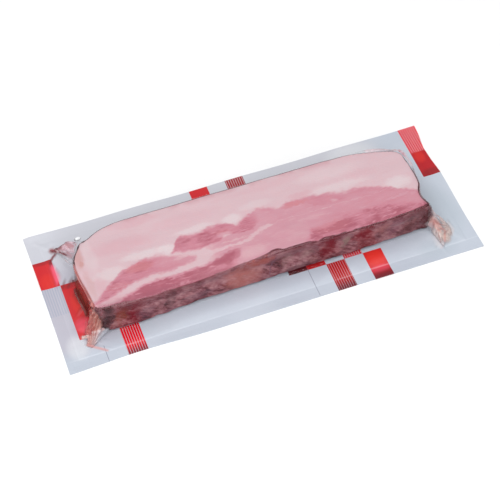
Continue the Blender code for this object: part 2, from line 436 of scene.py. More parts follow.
lumps = rough(places, 5.5 * MM, (1.5, 1, 0.9), seed=9.0)
lumps += 0.6 * rough(places, 2.4 * MM, (1.3, 1, 0.8))
lumps += 0.3 * rough(places, 1.3 * MM, (1.2, 1, 0.9), seed=2.9)
creased = rough(places, 2.0 * MM, (0.6, 0.6, 8), seed=5.0) * right_front
knife = rough(places, 9 * MM, (3, 0.6, 1), seed=1.7) * on_top
fibres = rough(places, 1.6 * MM, (6, 1, 1), seed=7.2) * on_top
lift = LUMP_DEPTH * ((lumps - LUMP_MIDDLE) * smoked + 1.4 * creased)
lift = np.minimum(lift + GRAIN_DEPTH * (knife + 0.45 * fibres), HIGHEST)
move_points(slab, places + normals * lift[:, None])
slab.data.shade_smooth()
print("the relief reaches from", round(lift.min() / MM, 2), "to", round(lift.max() / MM, 2), "mm")

# %% [markdown]
# The cut face's pattern is what a viewer reads first. Pork belly grows in layers, and each lean layer
# shows as a band between two lines along the slab. Each line is a curve node: its points say how far
# across the slab it lies, in millimetres, at each place along it. The pattern depends on X and Y
# alone, so it runs right through the slab.

# %% Draw the lines between the layers
LEFT_BAND_TOP = (
    (-120, -27), (-113, -25.5), (-106, -20.5), (-100, -15.8), (-95, -11.6), (-90, -8.2), (-85, -6.5),
    (-80, -4.9), (-75, -3.9), (-70, -4.0), (-65, -5.0), (-60, -6.6), (-55, -8.2), (-50, -9.6),
    (-45, -11.6), (-40, -14), (-34, -19),
)
LEFT_BAND_FOOT = (
    (-120, -30), (-113, -28.4), (-107, -27.4), (-100, -25), (-95, -22.2), (-90, -20.1), (-85, -18.5),
    (-80, -17.5), (-75, -17.1), (-65, -17.5), (-58, -17.6), (-50, -16.8), (-45, -15.8), (-40, -14.2),
    (-34, -10),
)
LOW_BAND_TOP = (
    (-105, -36), (-100, -31.4), (-95, -27.9), (-90, -25.7), (-85, -23.9), (-80, -22.5), (-75, -21.9),
    (-65, -22.3), (-55, -22.1), (-45, -21.4), (-40, -20.4), (-35, -19.3), (-30, -18.2), (-25, -17.2),
    (-19, -16.6), (-14, -16.8), (-10, -18.5), (0, -22),
)
MIDDLE_BAND_TOP = (
    (-66, -10), (-58, -5), (-54.5, -3), (-51.5, 1), (-49, 3.8), (-45, 4.4), (-41, 3.2), (-35, 3.7),
    (-29, 4.9), (-23, 5.1), (-18, 4.6), (-14, 3), (-10.4, 0.8), (-8, 1.8), (-5, 3.6), (0, 5.2),
    (5, 6.4), (12, 4), (18, -2),
)
MIDDLE_BAND_FOOT = (
    (-66, 0), (-58, -5), (-53, -5.2), (-48, -7.2), (-40, -8), (-33, -8.2), (-26, -7.6), (-20, -5),
    (-15, -5.5), (-9, -6.7), (-4, -6.8), (0, -5.2), (5, -2), (12, 4), (18, 8),
)
RIGHT_TOP = (
    (-42, -9.5), (-36, -8.6), (-28, -7.5), (-20, -3.5), (-10, -5), (-2, 0), (3.5, 6.5), (6, 8.6),
    (10, 7.8), (14, 5.6), (18, 3.9), (22, 4.7), (26, 6), (32, 6.6), (40, 6.5), (46, 5.2), (54, 4.3),
    (60, 2.6), (70, 2.3), (76, 1.6), (84, -1.2), (92, -3.9), (97, -6.6), (103, -10.6), (110, -14.2),
    (120, -19),
)
RIM_FOOT = (
    (12, 3), (18, 1.5), (26, 0.6), (36, 0.4), (44, -4.2), (54, -4.4), (64, -2.6), (76, -3), (90, -8),
    (110, -18),
)
RIGHT_DARK_TOP = (
    (20, -30), (29, -22), (34, -16.5), (42, -17.5), (54, -14), (66, -12), (84, -14), (100, -18),
    (120, -24),
)
STREAK = (
    (-50, -19.5), (-44, -17.6), (-39, -14.5), (-34, -13.6), (-28, -13.4), (-20, -13.5), (-12, -13.2),
    (-7, -12), (-3, -10.2), (1, -8.8), (5, -7.6), (10, -6.8), (20, -6),
)
STREAK_WIDTH = (
    (-62, 0.05), (-55, 0.1), (-50, 0.9), (-44, 2.6), (-38, 3.8), (-33, 2.4), (-27, 1.2), (-14, 1.0),
    (-6, 1.2), (0, 1.7), (5, 1.6), (9, 0.9), (12, 0.1), (20, 0.1),
)
SPAN_X = 120
SPAN_Y = 40

meat = Recipe("belly_meat")


def curve(points, x):
    """A line along the slab: its Y at each X, in millimetres."""
    made = meat.node("FloatCurve")
    line = made.mapping.curves[0]
    scaled = [((px + SPAN_X) / (2 * SPAN_X), (py + SPAN_Y) / (2 * SPAN_Y)) for px, py in points]
    for place in scaled[2:]:
        line.points.new(*place)
    for point, place in zip(line.points, scaled):
        point.location = place
    made.mapping.extend = "HORIZONTAL"
    made.mapping.update()
    share = meat.fade(x, -SPAN_X, SPAN_X)
    share.node.interpolation_type = "LINEAR"
    meat.put(made.inputs["Value"], share)
    return meat.math("MULTIPLY_ADD", made.outputs[0], 2 * SPAN_Y, -SPAN_Y)


print("the left band lies between lines of", len(LEFT_BAND_TOP), "and", len(LEFT_BAND_FOOT), "points")

# %% [markdown]
# Muscle and fat interlock, so no line stays clean. Noise of three sizes pushes the lines to and fro,
# and another shifts them along the slab. Small functions then turn lines into areas: all that lies
# in front of one line, and what lies between two.

# %% Fray the lines and turn them into areas
def centred(value, size):
    """Noise moved to swing evenly about zero, by so many millimetres."""
    return meat.math("MULTIPLY_ADD", value, 2 * size, -size)


fray = 0.0
for cell, detail, stretch, size in ((12, 2, 1.6, 1.5), (4, 2, 1.5, 1.6), (1.5, 1, 1.6, 1.2)):
    fray = meat.add(fray, centred(meat.noise(cell, detail, (stretch, 1, 1)), size))
drift = centred(meat.noise(7, 2, (1, 1, 1), (40, 7, 0)), 2.4)
frayed_x = meat.add(meat.x, drift)
frayed_y = meat.add(meat.y, fray)


def below(points, soft):
    """1 in front of a line, 0 behind it."""
    gap = meat.math("SUBTRACT", curve(points, frayed_x), frayed_y)
    return meat.fade(gap, -soft, soft)


def rest(share):
    """All that a share leaves over."""
    return meat.math("SUBTRACT", 1.0, share)


def band(top, foot, soft):
    """1 between two lines."""
    return meat.times(below(top, soft), rest(below(foot, soft)))


def spots(places):
    """Soft oval spots on the cut face, with frayed edges."""
    return meat.ovals(places, frayed_x, frayed_y)


print("the frayed coordinates take", len(meat.tree.nodes), "nodes")

# %% [markdown]
# Each lean band gets its own strength and fades out along the slab where the real one does. Where two
# overlap, the leaner one wins, so that together they give one number: how lean the meat is. A thin
# streak of fat is then cut out of the middle.

# %% Lay the lean bands
STREAK_CUT = 0.8

left_band = band(LEFT_BAND_TOP, LEFT_BAND_FOOT, 1.9)
left_band = meat.times(left_band, meat.fade(frayed_x, -76, -46, 0.88, 0.6))
low_end = meat.math("MULTIPLY_ADD", frayed_y, -0.63, frayed_x)
low_band = meat.times(below(LOW_BAND_TOP, 1.8), meat.fade(low_end, 6, -10))
middle_band = band(MIDDLE_BAND_TOP, MIDDLE_BAND_FOOT, 1.5)
middle_band = meat.times(middle_band, meat.fade(frayed_x, 13, -3, 0.0, 0.9))
right_part = meat.times(below(RIGHT_TOP, 1.8), meat.fade(frayed_x, -40, -26))
right_part = meat.times(right_part, meat.fade(meat.x, 20, 64, 0.5, 0.66))
right_rim = meat.times(band(RIGHT_TOP, RIM_FOOT, 1.8), meat.fade(frayed_x, 14, 23, 0.0, 0.74))
right_dark = meat.times(below(RIGHT_DARK_TOP, 6.5), 0.95)
lean = right_part
for layer in (right_rim, right_dark, left_band, middle_band, low_band):
    lean = meat.math("MAXIMUM", lean, layer)
streak_gap = meat.math("ABSOLUTE", meat.math("SUBTRACT", curve(STREAK, frayed_x), frayed_y))
streak_width = meat.math("MAXIMUM", curve(STREAK_WIDTH, meat.x), 0.1)
streak = meat.fade(meat.math("DIVIDE", streak_gap, streak_width), 1.4, 0.4)
lean = meat.times(lean, meat.math("MULTIPLY_ADD", streak, -STREAK_CUT, 1.0))
print("the pattern has", len(meat.tree.nodes), "nodes so far")

# %% [markdown]
# Inside the bands, fat runs through the lean in flecks and small islands. Each large island is a soft
# oval spot that lowers the leanness, or raises it where lean runs into fat. The fine flecks and the
# streaks along the slab come from stretched noise.

# %% Marble the lean
MARBLING_SPOTS = (
    (-21, -3.6, 4.5, 2.2, -0.46), (-52, -10.5, 5, 1.2, -0.3), (-37, -13, 4.5, 3.8, -0.42),
    (-55, -18.8, 5, 1.4, -0.3), (-8, -23, 9, 4.5, -0.22), (12, 5.8, 5, 2.0, 0.16),
    (55, -2, 2.2, 1.4, -0.4), (38, -10, 7, 2.2, -0.12), (60, -6, 14, 2.4, -0.1),
    (-17, -9.8, 9, 0.7, -0.24), (95, -13.5, 10, 0.8, -0.22), (88, -17, 6, 3, 0.12),
    (45, -21, 12, 4, 0.1), (24, -18, 8, 6, -0.06), (-64, -11, 8, 3, -0.12),
    (-105, -29.4, 6, 1.2, -0.3),
)

marbling = meat.fade(meat.noise(1.4, 3, (5, 1, 3), (11, 3, 0)), 0.58, 0.76)
islands = meat.fade(meat.noise(3.2, 3, (2.2, 1, 2), (70, 3, 0)), 0.6, 0.74)
fibre = centred(meat.noise(0.9, 2, (7, 1, 4)), 0.1)
mottle = centred(meat.noise(6, 3, (2.0, 1, 1), (5, 60, 0)), 0.16)
lean = meat.math("MAXIMUM", meat.add(lean, spots(MARBLING_SPOTS)), 0.0)
inside = meat.fade(lean, 0.15, 0.55)
for flecks, cut in ((marbling, 0.28), (islands, 0.2)):
    lean = meat.times(lean, meat.math("MULTIPLY_ADD", flecks, -cut, 1.0))
lean = meat.add(lean, meat.times(meat.add(fibre, mottle), inside))
lean = meat.add(lean, meat.times(meat.math("MAXIMUM", mottle, 0.0), 0.5))
print("the marbled pattern has", len(meat.tree.nodes), "nodes")

# %% [markdown]
# The number for leanness now becomes colour. Fat is a cool pinkish white, never yellow, and lean is
# a muted rose. The fat is whiter beside the lean and rosier towards the rind, and some of the lean is
# a warmer red. The face darkens a little where it meets the rind and the smoked side.

# %% Turn leanness into fat and lean
PALE_SPOTS = (
    (-98, -8, 12, 4.5, 0.7), (-74, 0, 16, 3, 0.8), (-58, -1.5, 6, 4, 0.8), (-38, 7.5, 14, 2.4, 0.7),
    (-12, 6.5, 6, 4, 0.8), (6, 12, 12, 3, 0.4), (62, 8, 22, 3.4, 0.6), (100, -3, 9, 5, 0.8),
    (-106, 10, 4, 14, 0.4), (60, 20, 24, 5, 0.35),
)
ROSY_SPOTS = (
    (-84, 11, 20, 6, 0.55), (-40, 17, 24, 5, 0.3), (36, 9.5, 9, 2.4, 0.6), (-72, 26, 16, 3.4, 0.5),
    (80, 12, 12, 4, 0.25), (15, 24, 30, 3, 0.25), (-106, -15, 4, 8, 0.4),
)
DEEP_SPOTS = (
    (-23, -20, 11, 4, 0.5), (-33, -3, 6, 4, 0.22), (-49, 0, 5, 4, 0.22), (-3, -2, 5, 3, 0.15),
    (-44, -26, 8, 3, 0.25),
)
WARM_SPOTS = (
    (-79, -8.5, 9, 4, 0.7), (-96, -19, 9, 3, 0.3), (31, 3.6, 8, 2.4, 0.6), (46, -21, 13, 5, 0.3),
    (-22, -1, 5, 2, 0.3),
)
END_SPOTS = ((-113.5, 14, 3.6, 12, 0.75), (-112, -12, 2.6, 12, 0.35), (-112.4, 5.5, 1.6, 2.2, 0.5))

flesh = meat.ramp(lean, (
    (0.0, (207, 177, 183)),
    (0.14, (206, 168, 175)),
    (0.34, (203, 156, 165)),
    (0.5, (199, 145, 157)),
    (0.7, (197, 136, 149)),
    (0.88, (193, 125, 140)),
    (1.0, (168, 92, 108)),
))
fatty = meat.fade(lean, 0.45, 0.1)
muscle = meat.fade(lean, 0.4, 0.7)
by_rind = meat.times(meat.fade(meat.y, 25, 29.5), meat.fade(meat.noise(10), 0.34, 0.6), 0.6)
by_crust = meat.times(meat.fade(meat.y, -26.5, -31), meat.fade(meat.x, -12, -30), 0.5)
for share, tint in (
    (meat.times(spots(PALE_SPOTS), fatty), (213, 196, 199)),
    (meat.times(spots(ROSY_SPOTS), fatty), (206, 161, 170)),
    (meat.times(spots(WARM_SPOTS), muscle), (198, 124, 131)),
    (meat.times(spots(DEEP_SPOTS), muscle), (164, 86, 103)),
    (spots(END_SPOTS), (197, 150, 148)),
    (by_rind, (194, 146, 154)),
    (by_crust, (150, 82, 98)),
):
    flesh = meat.blend(share, flesh, tint)
print("the flesh has", len(meat.tree.nodes), "nodes")

# %% [markdown]
# The smoked side is a lumpy purple brown with pale grey-pink furrows, a tan patch in the middle and
# wet, dark red places where juice has gathered. Noise gives the grain, some of it slanted. The patches
# are soft oval spots again, in X and Z, and the grain shows through them.

# %% Mix the crust's colours
CRUST_TONES = (
    ((54, 4, 10), ((-112, 12, 5, 16, 1.0), (-70, 13, 3.4, 10, 0.55), (110, 12, 6, 16, 1.0),
     (101, 20, 3, 3, 0.5))),
    ((118, 58, 42), ((-103, 12, 4.5, 9, 0.8), (97, 10, 6, 8, 0.45), (28, 7, 4, 3, 0.4))),
    ((90, 30, 38), ((98, 12, 11, 15, 0.8), (74, 8, 8, 5, 0.5), (-102, 19, 8, 4, 0.4),
     (10, 21, 10, 4, 0.4), (-56, 22, 16, 3, 0.4))),
    ((108, 8, 28), ((-93, 11, 4.5, 13, 0.95), (38, 15, 6.5, 9, 0.95), (62, 16, 6.5, 9, 0.85),
     (-40, 14, 5, 2, 0.5))),
    ((76, 20, 34), ((20, 4, 12, 3.6, 0.95), (44, 4, 8, 3, 0.6), (66, 8, 8, 2.4, 0.5))),
    ((178, 102, 94), ((-20, 10, 12, 9, 0.85), (-30, 18, 6, 4, 0.5), (75, 16, 6, 5, 0.35))),
    ((158, 72, 64), ((-10, 21, 9, 3.4, 0.8), (-22, 21, 7, 2.4, 0.5))),
    ((132, 108, 100), ((49, 14, 2.6, 6, 0.8), (8, 14, 4, 6, 0.3), (22, 14, 5, 4, 0.4))),
    ((108, 66, 84), ((-1.5, 12, 0.9, 14, 0.7), (84, 14, 6, 7, 0.45), (-68, 3, 5, 3, 0.5),
     (-50, 8, 9, 5, 0.4), (-86, 9, 6, 6, 0.35))),
)
SLANT = 1.1

warp_x = meat.add(meat.x, centred(meat.noise(5, 3, (1, 1, 1), (3, 8, 1)), 5.0))
warp_x = meat.add(warp_x, meat.times(meat.z, -0.25))
warp_z = meat.add(meat.z, centred(meat.noise(4, 3, (1, 1, 1), (13, 2, 7)), 4.0))
slanted_x = meat.math("MULTIPLY_ADD", meat.z, SLANT, meat.x)
slanted = meat.node("CombineXYZ", {0: slanted_x, 1: meat.y, 2: meat.z}).outputs[0]
crust_grain = meat.add(
    meat.times(meat.noise(2.2, 4, (1.0, 1, 2.0), (2, 2, 2), 0.6, slanted), 0.34),
    meat.times(meat.noise(7, 4, (1.3, 1, 1.2), (21, 5, 2), 0.6), 0.66),
)
crust = meat.ramp(crust_grain, (
    (0.36, (62, 12, 20)),
    (0.45, (124, 63, 70)),
    (0.53, (158, 103, 109)),
    (0.66, (188, 138, 142)),
))
crust = meat.blend(meat.times(meat.fade(warp_z, 13, 20), 0.55), crust, (104, 50, 62))
dapple = meat.fade(crust_grain, 0.4, 0.6, 1.0, 0.62)
for tone, tone_spots in CRUST_TONES:
    share = meat.times(meat.ovals(tone_spots, warp_x, warp_z), dapple)
    crust = meat.blend(meat.math("MINIMUM", share, 0.92), crust, tone)
specks = meat.fade(meat.noise(1.1, 2, (1.6, 1, 1), (50, 2, 2)), 0.62, 0.74)
crust = meat.blend(meat.times(specks, 0.14), crust, (206, 168, 170))
print("the crust's colours end at node", len(meat.tree.nodes))

# %% [markdown]
# The left end is red brown, tan towards the back and paler along its top edge. The rind is a mottled
# brown, darkest at its top. Where the crust begins, a thin dark line follows its edge. The three
# numbers on the points say where each colour goes. The film carries the shine, so the meat under it
# has little of its own.

# %% Colour the sides and finish the meat
smoke = meat.attribute("smoked")
end_colour = meat.blend(meat.fade(meat.noise(3, 3, (1, 1, 3)), 0.35, 0.65), (112, 30, 22), (146, 52, 36))
end_colour = meat.blend(meat.times(meat.fade(meat.y, -6, 4), 0.7), end_colour, (128, 84, 58))
end_colour = meat.blend(meat.fade(warp_z, 17, 21.5), end_colour, (176, 100, 98))
mottled = meat.fade(meat.noise(6, 4, (2, 1, 1), (8, 30, 4)), 0.35, 0.65)
bark = meat.times(meat.fade(meat.z, 21, 15), mottled)
rind_colour = meat.blend(bark, (66, 28, 38), (128, 78, 62))
broken = meat.fade(meat.noise(6), 0.3, 0.5, 0.4, 0.85)
brink = meat.times(meat.fade(smoke, 0.05, 0.3), meat.fade(smoke, 1.0, 0.85), broken)
brink = meat.times(brink, meat.fade(meat.x, -20, 6, 0.25, 1.0))
colour = meat.blend(meat.attribute("end_wall"), flesh, end_colour)
colour = meat.blend(meat.fade(smoke, 0.3, 0.7), colour, crust)
colour = meat.blend(brink, colour, (80, 18, 32))
colour = meat.blend(meat.fade(meat.attribute("rind"), 0.1, 0.5), colour, rind_colour)
slab.data.materials.append(meat.finish(
    base_color=colour, roughness=meat.fade(smoke, 0, 1, 0.42, 0.5), specular_ior_level=0.2,
    normal=meat.bump(meat.noise(0.8, 3, (2, 1, 1)), 0.1),
    subsurface_weight=0.1, subsurface_radius=(3.0, 1.2, 1.0), subsurface_scale=MM,
))
print("the meat's material has", len(meat.tree.nodes), "nodes")

# %% [markdown]
# The clear film is drawn tight over the slab and down to the web, and the spare film stands off the
# corners in gussets. It is a fine copy of the packed solid's surface without its underside. Its foot
# is extruded outwards into a narrow hem on the web. Creases keep the thin fin at the back left from
# shrinking when the film is smoothed, and the two ends are cut once more, to hold fine pleats.

# %% Draw the clear film over the slab
HEM = 1.6 * MM
HEM_DROP = 0.22 * MM
ENDS_FROM = 106 * MM
FIN = (-111.5 * MM, 24 * MM)
FIN_CREASE = 0.9


def underside(middle, normal):
    return normal.z < -0.9 and middle.z < 1.2 * MM


def fin(middle, normal):
    return middle.x < FIN[0] and middle.y > FIN[1]


def two_ends(middle, normal):
    return abs(middle.x) > ENDS_FROM and normal.z < 0.97


film = working_copy("film_sealed_bacon", "clear_film")
change_faces(film, underside, bpy.ops.mesh.delete, type="FACE")
edit(film, "EDGE")
bpy.ops.mesh.select_non_manifold()
bpy.ops.mesh.extrude_region_move()
bpy.ops.transform.shrink_fatten(value=HEM)
bpy.ops.transform.translate(value=(0, 0, -HEM_DROP))
done()
change_faces(film, fin, bpy.ops.transform.edge_crease, value=FIN_CREASE)
modify(film, "SUBSURF", levels=2, render_levels=2)
change_faces(film, two_ends, bpy.ops.mesh.subdivide, number_cuts=1)
print("the film has", len(film.data.polygons), "faces")

# %% [markdown]
# Each gusset is a fan: its pleats run from the tip on the web to the slab's corner. A wave round the
# tip gives them, strongest halfway along, and each point keeps how deep in a fold it lies.

# %% Pinch the gussets into pleats
FANS = {
    "rind_left": ((-125, 39.8), (-111, 24), 7.0, 15, 0.4),
    "lean_left_end": ((-127.5, -32.5), (-114, -24), 9.0, 11, 0.5),
    "lean_left": ((-122, -41.5), (-112.5, -28), 8.0, 13, 0.55),
    "lean_right": ((127.5, -34), (110, -24), 12.0, 9, 0.26),
    "lean_right_low": ((113.8, -47.5), (108.5, -28), 6.0, 9, 0.2),
    "rind_right": ((119, 27), (107, 19), 7.0, 9, 0.22),
}
FILM_RIPPLE = 0.05 * MM

places, normals = points_of(film)
film_spots = spots_of(film)
height = film_spots[:, 2]
pinch = np.zeros(len(places))
fold = np.zeros(len(places))
for tip, root, width, count, depth in FANS.values():
    axis = np.subtract(root, tip)
    length = np.linalg.norm(axis)
    from_tip = film_spots[:, :2] - tip
    along = from_tip @ axis / length**2
    across = from_tip @ (-axis[1], axis[0]) / length
    turn = np.arctan2(across, np.maximum(along, 0.05) * length)
    near = soft_step(1.25 - along, 0, 0.35) * soft_step(along, 0.02, 0.25)
    near *= soft_step(width - np.abs(across), 0, width / 2)
    uneven = rough(places, 5 * MM, seed=count * 0.7)
    wave = np.sin(count * 2.4 * turn + 0.35 * height + 3.0 * uneven)
    pinch += near * depth * wave
    fold = np.maximum(fold, near * soft_step(-wave, 0.2, 0.95))
on_slab_top = soft_step(normals[:, 2], 0.6, 0.95) * soft_step(height, 18, 22)
pinch *= (1 - on_slab_top) * soft_step(height, 0.9, 3.0)
ripple = rough(places, 14 * MM, (2.2, 1, 1), seed=2.2) + 0.5 * rough(places, 4 * MM, (1.5, 1, 1))
ripple *= soft_step(height, 1.5, 4)
move_points(film, places + normals * (pinch * MM + FILM_RIPPLE * ripple)[:, None])
film.data.shade_smooth()
give(film, "fold", fold)
print("points in folds:", int((fold > 0.5).sum()), "of", len(places))

# %% [markdown]
# Juice and trapped air stain the film and the web at the corners. Some strokes are painted light and
# shade instead: painted highlights along pleats, a painted reflection on the red print, a painted shadow
# of the film, and pale paint over the shaded flanks of the gussets. They could be noise, but each has
# its place. So each stain and each patch of painted light is a stroke: a width, a cover, a colour and a
# line in space, in millimetres from the pack's middle and its underside. A later stroke covers an
# earlier one.

# %% List the stains and the painted light at the corners
BACK_LEFT = (
    (3.4, 0.7, (226, 190, 200), (-113.7, 26.6, 20), (-117.4, 31, 13.5), (-121.6, 35.8, 6.3)),
    (3.4, 0.7, (222, 184, 194), (-113.8, 24.6, 16.8), (-118, 30.5, 9.7)),
    (3.0, 0.6, (220, 200, 210), (-112.5, 25, 12), (-114.5, 28, 5)),
    # Painted light: pale paint over the shaded lower flank of the fin.
    (2.6, 0.6, (222, 222, 230), (-114.5, 23, 4), (-117.5, 29, 2)),
    (2.2, 0.85, (150, 66, 66), (-119.9, 33.8, 9.4), (-124.6, 39.4, 0.9)),
    (0.7, 0.85, (146, 60, 74), (-111.5, 25.2, 23), (-113.5, 27.7, 21.5), (-117, 31.4, 16.7),
     (-121.2, 35.8, 8), (-124.6, 39.2, 1.5)),
    (0.8, 0.9, (120, 36, 42), (-117.4, 28.5, 5.6), (-120.9, 34.1, 4.3), (-124.5, 39.3, 0.6)),
    # A painted highlight along the fan's lower edge near the tip.
    (0.5, 0.8, (242, 228, 232), (-122.7, 36.8, 3), (-119.8, 32.7, 6.1)),
    (1.2, 0.7, (176, 116, 122), (-111.6, 22.7, 22.5), (-110.4, 23.4, 23.4), (-108.6, 24.2, 23.4)),
    (0.9, 0.9, (112, 26, 34), (-122.7, 36.1, 0.6), (-125, 34.8, 0.6), (-127.8, 31.5, 0.6),
     (-128.8, 27, 0.6)),
)
LEFT_END = (
    (1.7, 0.65, (244, 104, 134), (-127.8, 27, 0.6), (-127.2, 20, 0.6), (-127.8, 13.5, 0.6)),
    # Juice along the top of the red block, darkened further as the painted shadow of the film.
    (1.2, 0.7, (124, 38, 40), (-127, 11, 0.6), (-118.5, 11.3, 0.6)),
    (2.6, 0.85, (120, 58, 34), (-117.8, 7, 9), (-118.2, 3.7, 6.7), (-117.5, -8.1, 3.8)),
    (2.6, 0.92, (114, 24, 18), (-118.2, 3, 1), (-118.2, -5, 2.1), (-117.8, -9.8, 1.2),
     (-117, -15.6, 1.3)),
    (3.4, 0.8, (126, 30, 22), (-117.6, 2, 16), (-117.2, -8, 14), (-116.6, -16, 12)),
    (1.4, 0.85, (206, 126, 120), (-116.4, 3, 22.6), (-117.2, -6.3, 22.4), (-116, -15.5, 22),
     (-114.6, -26, 23.6)),
    (0.8, 0.85, (170, 80, 74), (-117.5, 2, 18.6), (-117.4, -5, 17.6), (-116.1, -15.5, 16.6),
     (-115.6, -26.2, 18)),
)
FRONT_LEFT = (
    (3.2, 0.85, (196, 132, 120), (-115.1, -28.7, 18.2), (-115.6, -34, 9.8)),
    (2.6, 0.8, (184, 110, 100), (-116.6, -24, 16), (-118.5, -30, 8)),
    # A painted reflection: the red print under the film made brighter and pinker.
    (4.0, 0.35, (244, 120, 128), (-124, -22, 0.6), (-120.4, -25.2, 0.6)),
    # Painted light: pale paint over the shaded flanks of the low gusset.
    (2.4, 0.6, (216, 214, 222), (-114, -34, 6), (-117.5, -38, 2.5)),
    (1.8, 0.5, (214, 216, 226), (-110, -33.5, 4), (-113.5, -36.5, 2)),
    (2.2, 0.6, (224, 130, 124), (-120.3, -27, 4), (-121, -32.2, 5.6)),
    # A painted highlight along a pleat.
    (1.1, 0.85, (242, 228, 222), (-125.5, -31.4, 0.6), (-121.4, -34.8, 4.3)),
    (0.9, 0.75, (236, 216, 214), (-118.2, -34.7, 6.9), (-115.7, -35.2, 7.7), (-111.6, -34, 5.8)),
    (1.9, 0.85, (208, 150, 140), (-121.3, -35.7, 4), (-122.4, -38, 2.2)),
    (2.4, 0.65, (220, 182, 178), (-118.5, -36.3, 5.7), (-119.8, -38.7, 3.3)),
    (0.9, 0.8, (200, 140, 138), (-123.7, -38.4, 1.2), (-121.6, -40.5, 1.7), (-119.4, -41.6, 0.6),
     (-113.4, -46, 0.6)),
)
FRONT_RIGHT = (
    (3.2, 0.8, (208, 184, 184), (114.9, -26.6, 15.1), (117.3, -24.8, 10.6), (121.7, -27.5, 6)),
    (2.4, 0.75, (92, 54, 62), (112.6, -27, 20), (113.6, -29, 14)),
    (3.4, 0.8, (208, 166, 160), (114.4, -31.5, 10), (115.9, -35, 6.8)),
    (3.2, 0.8, (212, 190, 184), (121.9, -30.2, 5.6), (123.1, -37.3, 2.6)),
    (1.6, 0.6, (208, 196, 196), (126, -30, 1.5), (126.5, -36, 1.0)),
    (3.4, 0.78, (216, 194, 186), (113.6, -37, 3.8), (119.2, -41.2, 2.5)),
    (1.2, 0.65, (186, 176, 182), (117.4, -43.4, 2.1), (115.4, -45.2, 1.8), (113.8, -46.6, 0.6)),
    (2.6, 0.6, (214, 206, 208), (111, -32, 7), (112.2, -38, 3.5), (113.4, -44, 1.5)),
    (0.9, 0.4, (218, 156, 146), (114.3, -31.8, 9.5), (119.3, -36.6, 4.6)),
    (0.8, 0.35, (218, 156, 146), (113.5, -32.4, 7.4), (116.6, -37.8, 5)),
    (0.9, 0.6, (204, 142, 132), (120.1, -37.1, 3.9), (117.4, -43.4, 2.1)),
)
RIGHT_END = (
    (2.4, 0.72, (218, 192, 198), (92, 28.4, 23.2), (101.5, 26.5, 22.9), (108, 24.4, 22.8),
     (112.8, 21.9, 22.6), (114.8, 16, 22.8), (115.2, 7.8, 22.8)),
    (0.9, 0.6, (204, 126, 144), (111.8, 21.2, 23.2), (113.2, 15.6, 23.4)),
    (1.1, 0.65, (116, 54, 66), (114.6, 4, 23.4), (113, -8, 23.4), (109.5, -16, 23.6),
     (111.5, -25.3, 22.6)),
)
STROKES = (*BACK_LEFT, *LEFT_END, *FRONT_LEFT, *FRONT_RIGHT, *RIGHT_END)

print("strokes to paint:", len(STROKES))

# %% [markdown]
# Each point of the film takes the colour and the cover of the strokes near it. The web reads the same
# list later, so that a stroke runs on from the film onto the print. The film over the slab's top
# stays clear, except near the slab's two ends.

# %% Paint the stains and the painted light on the film
def beside(points, start, end):
    """How far each point is from a straight line, and how far along the line it lies."""
    axis = np.subtract(end, start)
    share = np.clip((points - start) @ axis / (axis @ axis), 0, 1)
    return np.linalg.norm(points - start - share[:, None] * axis, axis=1), share


def painted(points, strokes):
    """The colour and the cover that the strokes leave at each point, in rows of four."""
    paint = np.zeros((len(points), 4))
    for width, cover, colour, *line in strokes:
        gap = np.min([beside(points, *ends)[0] for ends in zip(line, line[1:])], axis=0)
        wet = cover * soft_step(width - gap, -0.45 * width, 0.65 * width)
        total = paint[:, 3] + wet - paint[:, 3] * wet
        share = wet / np.maximum(total, 1e-6)
        paint[:, :3] += (np.array(seen(*colour)[:3]) - paint[:, :3]) * share[:, None]
        paint[:, 3] = total
    return paint


def stain_and_painted_light(piece, paint):
    """Stores the paint on the piece's points, for its material to read."""
    made = piece.data.attributes.new("stain_and_painted_light", "FLOAT_COLOR", "POINT")
    made.data.foreach_set("color", paint.astype(np.float32).ravel())


paint = painted(film_spots, STROKES)
between_ends = soft_step(80 - film_spots[:, 0], 0, 10) * soft_step(film_spots[:, 0], -113, -109)
paint[:, 3] *= 1 - on_slab_top * between_ends
stain_and_painted_light(film, paint)
print("stained points:", int((paint[:, 3] > 0.1).sum()), "of", len(places))

# %% [markdown]
# A small bubble of air is caught at the back left corner. It could be a bulge of the film, but it
# stands out clearly, so it is a piece of its own: a squeezed sphere in the same film, with a painted
# highlight as a bright streak on top and painted shade as grey streaks on its side.

# %% Catch a bubble of air
BUBBLE_PLACE = Vector((-109.0, 26.9, 22.0))
BUBBLE_HALF = Vector((2.3, 1.3, 1.5))
# A painted highlight on top, then painted shade in greys on the bubble's side.
BUBBLE_STROKES = (
    (1.5, 0.75, (240, 242, 244), (-109.8, 26.2, 23.2), (-107.8, 26.8, 23.2)),
    (1.3, 0.7, (112, 108, 112), (-111.4, 26.6, 22.4), (-111.2, 25.9, 21.4)),
    (0.8, 0.6, (150, 146, 150), (-110.2, 25.6, 21.6), (-107.6, 25.8, 21.6)),
)

bpy.ops.mesh.primitive_uv_sphere_add(segments=32, ring_count=16, radius=1, location=(0, 0, 0))
bubble = bpy.context.object
bubble.name = "air_bubble"
edit(bubble, select="SELECT")
bpy.ops.transform.resize(value=BUBBLE_HALF * MM, center_override=(0, 0, 0))
bpy.ops.transform.translate(value=(*(BUBBLE_PLACE.xy * MM), cad_low.z + BUBBLE_PLACE.z * MM))
done()
bubble.data.shade_smooth()
bubble_spots = spots_of(bubble)
stain_and_painted_light(bubble, painted(bubble_spots, BUBBLE_STROKES))
give(bubble, "fold", np.zeros(len(bubble_spots)))
print("the bubble is", [round(2 * half, 1) for half in BUBBLE_HALF], "mm")

# %% [markdown]
# Film can be made as glass that bends light, or as a see-through layer with a mirror sheen that grows
# towards grazing angles. Real film is so thin that it bends nothing, so the second way is right, and it
# renders faster. The sheen comes from how the film faces the eye, which is the same on both its
# sides. Where juice, folds or the painted light of the strokes cloud it, a coloured layer is mixed in,
# and in the folds that layer is darkened as painted shade.

# %% Make the film's material
SHEEN_LEAST = 0.018
SHEEN_GAIN = 0.75
SHEEN_POWER = 5.0

